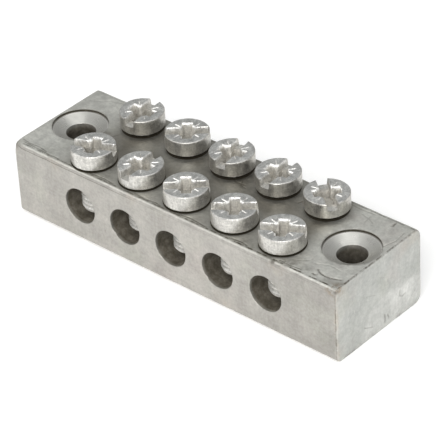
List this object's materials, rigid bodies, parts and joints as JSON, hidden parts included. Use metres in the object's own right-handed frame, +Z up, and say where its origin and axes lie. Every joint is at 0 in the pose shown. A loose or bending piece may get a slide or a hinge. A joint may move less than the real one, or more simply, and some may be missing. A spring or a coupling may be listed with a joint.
{
  "type": "earth terminal bar",
  "caption": "Rectangular metal earthing bar, cross-drilled for conductors, with paired slot and cross-recess clamp screws over each bore and a recessed fixing hole at each end.",
  "frame": {"origin": "centre of the bar's underside", "axes": "+X along the bar, +Y across it from the front face to the rear face, +Z up through the screw heads"},
  "size_m": [0.0786, 0.024, 0.0198],
  "materials": {
    "bar_metal": "dull tumbled aluminium, lightly scuffed, with brown-grey grime along the edges",
    "screw_metal": "bright zinc-plated steel, slightly uneven"
  },
  "bodies": {
    "bar": {"terminal_bar": "bar_metal"},
    "clamp_screw_front_1": {"clamp_screw_front_1": "screw_metal"},
    "clamp_screw_front_2": {"clamp_screw_front_2": "screw_metal"},
    "clamp_screw_front_3": {"clamp_screw_front_3": "screw_metal"},
    "clamp_screw_front_4": {"clamp_screw_front_4": "screw_metal"},
    "clamp_screw_front_5": {"clamp_screw_front_5": "screw_metal"},
    "clamp_screw_rear_1": {"clamp_screw_rear_1": "screw_metal"},
    "clamp_screw_rear_2": {"clamp_screw_rear_2": "screw_metal"},
    "clamp_screw_rear_3": {"clamp_screw_rear_3": "screw_metal"},
    "clamp_screw_rear_4": {"clamp_screw_rear_4": "screw_metal"},
    "clamp_screw_rear_5": {"clamp_screw_rear_5": "screw_metal"}
  },
  "joints": [
    {"name": "front_1_travel", "type": "slide", "parent": "bar", "child": "clamp_screw_front_1", "axis": [0, 0, 1], "range_m": [-0.00028, 0.006]},
    {"name": "front_2_travel", "type": "slide", "parent": "bar", "child": "clamp_screw_front_2", "axis": [0, 0, 1], "range_m": [-0.00028, 0.006]},
    {"name": "front_3_travel", "type": "slide", "parent": "bar", "child": "clamp_screw_front_3", "axis": [0, 0, 1], "range_m": [-0.00028, 0.006]},
    {"name": "front_4_travel", "type": "slide", "parent": "bar", "child": "clamp_screw_front_4", "axis": [0, 0, 1], "range_m": [-0.00028, 0.006]},
    {"name": "front_5_travel", "type": "slide", "parent": "bar", "child": "clamp_screw_front_5", "axis": [0, 0, 1], "range_m": [-0.00028, 0.006]},
    {"name": "rear_1_travel", "type": "slide", "parent": "bar", "child": "clamp_screw_rear_1", "axis": [0, 0, 1], "range_m": [-0.00068, 0.0056]},
    {"name": "rear_2_travel", "type": "slide", "parent": "bar", "child": "clamp_screw_rear_2", "axis": [0, 0, 1], "range_m": [-0.00068, 0.0056]},
    {"name": "rear_3_travel", "type": "slide", "parent": "bar", "child": "clamp_screw_rear_3", "axis": [0, 0, 1], "range_m": [-0.00068, 0.0056]},
    {"name": "rear_4_travel", "type": "slide", "parent": "bar", "child": "clamp_screw_rear_4", "axis": [0, 0, 1], "range_m": [-0.00068, 0.0056]},
    {"name": "rear_5_travel", "type": "slide", "parent": "bar", "child": "clamp_screw_rear_5", "axis": [0, 0, 1], "range_m": [-0.00068, 0.0056]}
  ]
}
